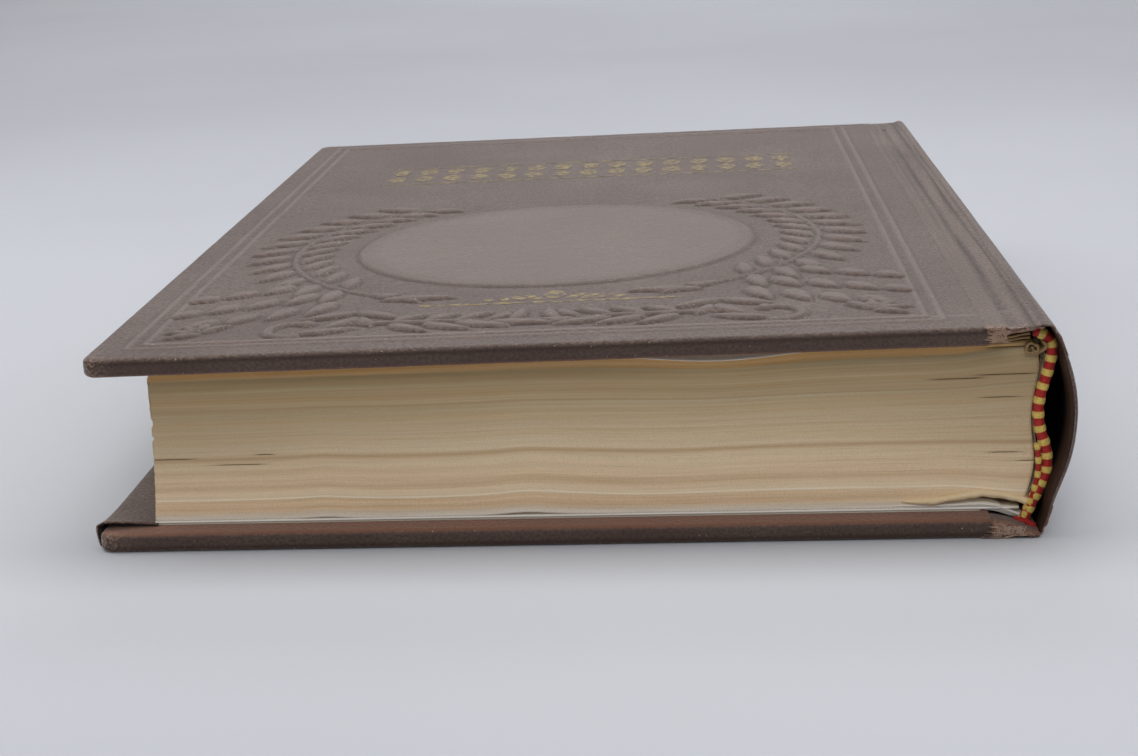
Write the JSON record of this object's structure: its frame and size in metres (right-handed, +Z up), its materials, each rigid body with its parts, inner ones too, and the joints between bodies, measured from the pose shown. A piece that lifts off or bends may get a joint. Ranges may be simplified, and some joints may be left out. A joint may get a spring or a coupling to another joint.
{
  "type": "antique hardcover book",
  "caption": "Thick cloth-bound hardcover book lying flat, with leaf embossing on the front cover, a hollow rounded spine, striped end bands, aged pages and covers that open.",
  "frame": {"origin": "middle of the book's outline, on the surface that its back cover lies on", "axes": "+X from the fore edge to the spine, +Y from head to tail, +Z up out of the front cover"},
  "size_m": [0.185, 0.26, 0.0411],
  "materials": {
    "covering_cloth": "grained book cloth, worn",
    "board": "grey-brown pasteboard",
    "pages": "aged uncoated paper",
    "endpaper": "off-white paper",
    "band_silk": "wound red and yellow thread",
    "lining_cloth": "unbleached linen"
  },
  "bodies": {
    "text_block": {"text_block": "pages", "front_flyleaf": "endpaper", "back_flyleaf": "endpaper", "sewing_tape_head": "lining_cloth", "sewing_tape_middle": "lining_cloth", "sewing_tape_tail": "lining_cloth", "spine_mull": "lining_cloth", "spine_lining": "endpaper", "head_band": "band_silk", "tail_band": "band_silk", "spine_inlay": "board", "spine_cloth": "covering_cloth"},
    "front_cover": {"front_board": "board", "front_cover_cloth": "covering_cloth", "front_pastedown": "endpaper"},
    "back_cover": {"back_board": "board", "back_cover_cloth": "covering_cloth", "back_pastedown": "endpaper"}
  },
  "joints": [
    {"name": "front_cover_hinge", "type": "hinge", "parent": "text_block", "child": "front_cover", "pos_m": [0.08723, 0, 0.04059], "axis": [0, 1, 0], "range_deg": [0, 180]},
    {"name": "back_cover_hinge", "type": "hinge", "parent": "text_block", "child": "back_cover", "pos_m": [0.08593, 0, 0.00022], "axis": [0, -1, 0], "range_deg": [0, 180]}
  ]
}
